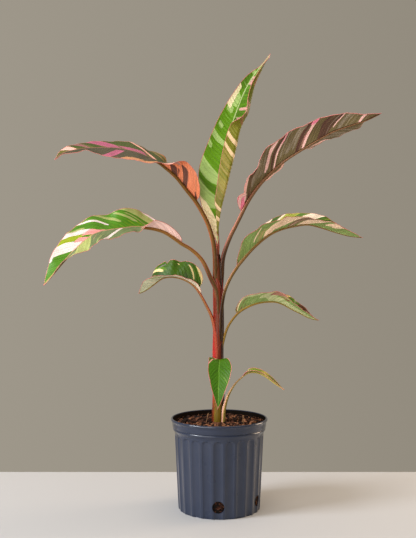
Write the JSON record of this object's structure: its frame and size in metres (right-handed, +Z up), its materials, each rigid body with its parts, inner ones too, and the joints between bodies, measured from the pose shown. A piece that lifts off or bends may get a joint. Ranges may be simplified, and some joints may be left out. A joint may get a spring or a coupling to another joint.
{
  "type": "potted variegated banana plant",
  "caption": "Young variegated pink banana plant: a reddish pseudostem with arching, folded leaves marked green, cream and pink, standing in a ribbed round nursery pot.",
  "frame": {"origin": "on the pot's axis, on the surface that the pot stands on", "axes": "+Z up, along the plant's height; -Y towards the front of the plant; +X to the right seen from the front"},
  "size_m": [0.5413, 0.1979, 0.7698],
  "materials": {
    "pot_plastic": "satin moulded plastic",
    "potting_mix": "loose bark chips and dark potting mix",
    "stem_skin": "smooth waxy stem skin",
    "blade_green_cream": "satin leaf, green with cream and pink patches",
    "blade_pink": "satin leaf, dark green with pink and orange patches",
    "blade_green": "satin leaf, green with a thin pink margin",
    "blade_maroon": "satin leaf underside, maroon and olive with salmon streaks"
  },
  "bodies": {
    "root": {"pot": "pot_plastic", "soil": "potting_mix", "stem": "stem_skin", "leaf_top": "blade_green_cream", "leaf_upper_left": "blade_pink", "leaf_mid_left": "blade_green_cream", "leaf_lower_left": "blade_green", "leaf_upper_right": "blade_maroon", "leaf_mid_right": "blade_green_cream", "leaf_lower_right": "blade_green", "leaf_front": "blade_green", "leaf_ground": "blade_green"}
  },
  "joints": []
}
